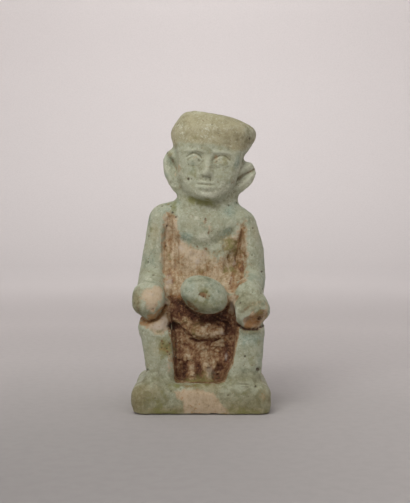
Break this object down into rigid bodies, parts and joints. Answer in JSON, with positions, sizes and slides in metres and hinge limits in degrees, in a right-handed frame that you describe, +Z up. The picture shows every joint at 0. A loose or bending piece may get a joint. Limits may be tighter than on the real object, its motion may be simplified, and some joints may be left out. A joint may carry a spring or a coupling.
{
  "type": "deity amulet",
  "caption": "Squat seated figure with a flat cap and large ears on a low plinth, moulded in one piece with a pierced back pillar.",
  "frame": {"origin": "middle of the plinth's underside", "axes": "+Z up through the head, -Y the way the figure faces, +X the viewer's right when looking at its face"},
  "size_m": [0.0202, 0.0168, 0.0447],
  "materials": {
    "glazed_body": "weathered matt pale grey-green glaze, worn through to a pinkish beige body, with brown earth in the hollows"
  },
  "bodies": {
    "root": {"deity_figure": "glazed_body"}
  },
  "joints": []
}
